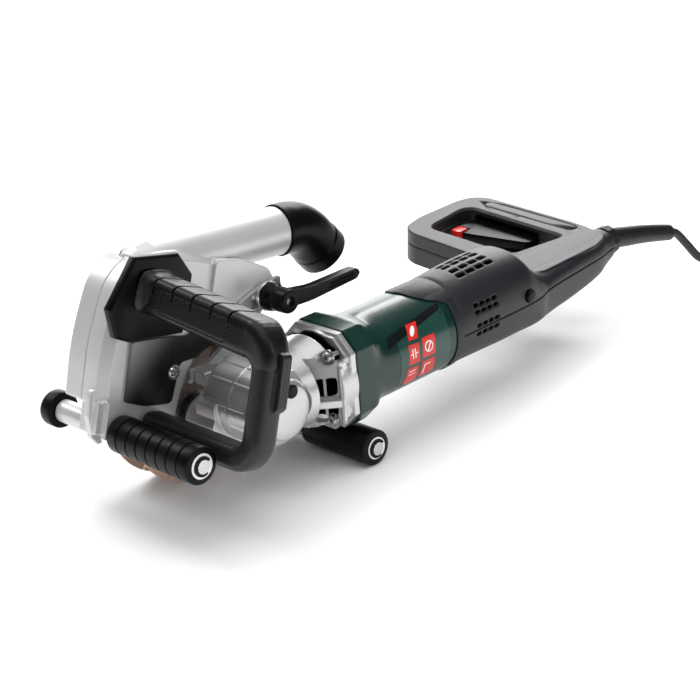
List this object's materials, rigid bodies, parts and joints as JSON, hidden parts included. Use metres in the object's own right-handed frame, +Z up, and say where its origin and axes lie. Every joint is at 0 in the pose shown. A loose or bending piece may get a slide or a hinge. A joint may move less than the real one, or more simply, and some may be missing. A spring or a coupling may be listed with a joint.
{
  "type": "wall chaser",
  "caption": "Twin-disc wall chaser: cast dust hood on rollers, side bail handle, depth pivot, motor in line with a loop rear handle, swivelling dust elbow and mains lead.",
  "frame": {"origin": "middle of the base on the floor under the tool, free cord left out", "axes": "+Z up, +Y from the rollers towards the rear handle and cord, +X along the roller axles towards the motor side"},
  "size_m": [0.3448, 0.9323, 0.2208],
  "materials": {
    "cast_aluminium": "bead-blasted casting",
    "dark_casting": "dark lacquer",
    "steel": "turned",
    "chrome": "polished",
    "green_plastic": "satin",
    "black_plastic": "fine grain",
    "soft_grip": "soft matt",
    "roller_rubber": "matt",
    "cord_rubber": "matt",
    "windings": "varnished copper",
    "brush_brass": "pressed",
    "disc_steel": "ground, slightly bronze rim",
    "red_plastic": "gloss"
  },
  "bodies": {
    "motor_unit": {"gear_housing": "cast_aluminium", "housing_screw_1": "steel", "housing_screw_2": "steel", "housing_screw_3": "steel", "housing_screw_4": "steel", "gear_cover": "cast_aluminium", "layshaft_bearing_near": "steel", "spindle_bearing": "steel", "spindle_bearing_plate": "dark_casting", "depth_segment": "dark_casting", "motor_housing": "green_plastic", "stator": "windings", "armature_bearing_front": "steel", "armature_bearing_rear": "steel", "brush_left": "brush_brass", "brush_right": "brush_brass", "cord_sleeve": "soft_grip", "power_cord": "cord_rubber", "cord_coil": "cord_rubber", "mains_plug": "black_plastic"},
    "armature": {"armature_shaft": "steel", "armature_core": "windings", "commutator": "windings", "cooling_fan": "black_plastic"},
    "layshaft": {"layshaft": "steel", "crown_gear": "steel"},
    "spindle": {"spindle": "steel", "spindle_gear": "steel", "inner_flange": "steel", "cutting_disc_near": "disc_steel", "cutting_disc_far": "disc_steel", "spacer_sleeve": "steel", "clamping_nut": "steel"},
    "spindle_lock": {"spindle_lock_button": "black_plastic"},
    "hood": {"hood_body": "cast_aluminium", "hood_cover": "cast_aluminium", "front_axle": "steel", "rear_axle": "steel", "front_axle_retainer": "chrome", "rear_axle_retainer": "chrome", "handle_plate": "black_plastic", "front_handle": "black_plastic", "front_handle_grip": "soft_grip", "guard_plate": "dark_casting", "guard_screw": "chrome", "clamp_stud": "steel", "clamp_washer": "chrome"},
    "front_roller": {"front_roller": "roller_rubber"},
    "front_wheel": {"front_wheel": "roller_rubber"},
    "rear_roller": {"rear_roller": "roller_rubber"},
    "rear_wheel": {"rear_wheel": "roller_rubber"},
    "clamp_lever": {"clamp_lever": "black_plastic"},
    "hose_elbow": {"hose_elbow": "black_plastic"},
    "rear_handle": {"handle_shell_upper": "black_plastic", "handle_shell_lower": "black_plastic", "grip_pad": "soft_grip", "switch_module": "black_plastic"},
    "trigger": {"trigger": "black_plastic"},
    "lock_off": {"lock_off_button": "red_plastic"},
    "handle_lock": {"handle_lock_button": "black_plastic"}
  },
  "joints": [
    {"name": "depth_pivot", "type": "hinge", "parent": "motor_unit", "child": "hood", "pos_m": [-0.00562, -0.08338, 0.01611], "axis": [1, 0, 0], "range_deg": [-1.2, 16.2]},
    {"name": "front_roller_spin", "type": "hinge", "parent": "hood", "child": "front_roller", "pos_m": [0.03138, -0.27392, 0.07689], "axis": [1, 0, 0], "continuous": true},
    {"name": "front_wheel_spin", "type": "hinge", "parent": "hood", "child": "front_wheel", "pos_m": [-0.10362, -0.27392, 0.07689], "axis": [1, 0, 0], "continuous": true},
    {"name": "rear_roller_spin", "type": "hinge", "parent": "hood", "child": "rear_roller", "pos_m": [0.04438, -0.08338, 0.01611], "axis": [1, 0, 0], "continuous": true},
    {"name": "rear_wheel_spin", "type": "hinge", "parent": "hood", "child": "rear_wheel", "pos_m": [-0.07962, -0.08338, 0.01611], "axis": [1, 0, 0], "continuous": true},
    {"name": "spindle_spin", "type": "hinge", "parent": "motor_unit", "child": "spindle", "pos_m": [-0.00562, -0.19145, 0.06265], "axis": [1, 0, 0], "continuous": true},
    {"name": "layshaft_spin", "type": "hinge", "parent": "motor_unit", "child": "layshaft", "pos_m": [-0.00562, -0.17101, 0.08127], "axis": [1, 0, 0], "continuous": true},
    {"name": "armature_spin", "type": "hinge", "parent": "motor_unit", "child": "armature", "pos_m": [0.03938, -0.07101, 0.08109], "axis": [0, 1, -0.0017], "continuous": true},
    {"name": "spindle_lock_press", "type": "slide", "parent": "motor_unit", "child": "spindle_lock", "axis": [-1, 0, 0], "range_m": [0, 0.003], "stiffness_N_per_m": 600},
    {"name": "clamp_lever_turn", "type": "hinge", "parent": "hood", "child": "clamp_lever", "pos_m": [0.00438, -0.1072, 0.14547], "axis": [1, 0, 0], "range_deg": [-5, 110]},
    {"name": "hose_elbow_swivel", "type": "hinge", "parent": "hood", "child": "hose_elbow", "pos_m": [-0.04742, -0.04997, 0.18251], "axis": [0, 0.9961, -0.0887], "range_deg": [-120, 120]},
    {"name": "handle_swivel", "type": "hinge", "parent": "motor_unit", "child": "rear_handle", "pos_m": [0.03938, 0.05899, 0.08087], "axis": [0, 1, -0.0017], "range_deg": [-90, 90]},
    {"name": "trigger_press", "type": "slide", "parent": "rear_handle", "child": "trigger", "axis": [0, 1, -0.0017], "range_m": [0, 0.004], "stiffness_N_per_m": 900},
    {"name": "lock_off_press", "type": "slide", "parent": "trigger", "child": "lock_off", "axis": [0, 1, -0.0017], "range_m": [0, 0.003], "stiffness_N_per_m": 300},
    {"name": "handle_lock_press", "type": "slide", "parent": "rear_handle", "child": "handle_lock", "axis": [-0.9962, 0.0002, 0.0872], "range_m": [0, 0.003], "stiffness_N_per_m": 500}
  ],
  "couplings": [
    {"joint": "layshaft_spin", "follows": "spindle_spin", "ratio": -1.5},
    {"joint": "armature_spin", "follows": "spindle_spin", "ratio": -3.75}
  ]
}
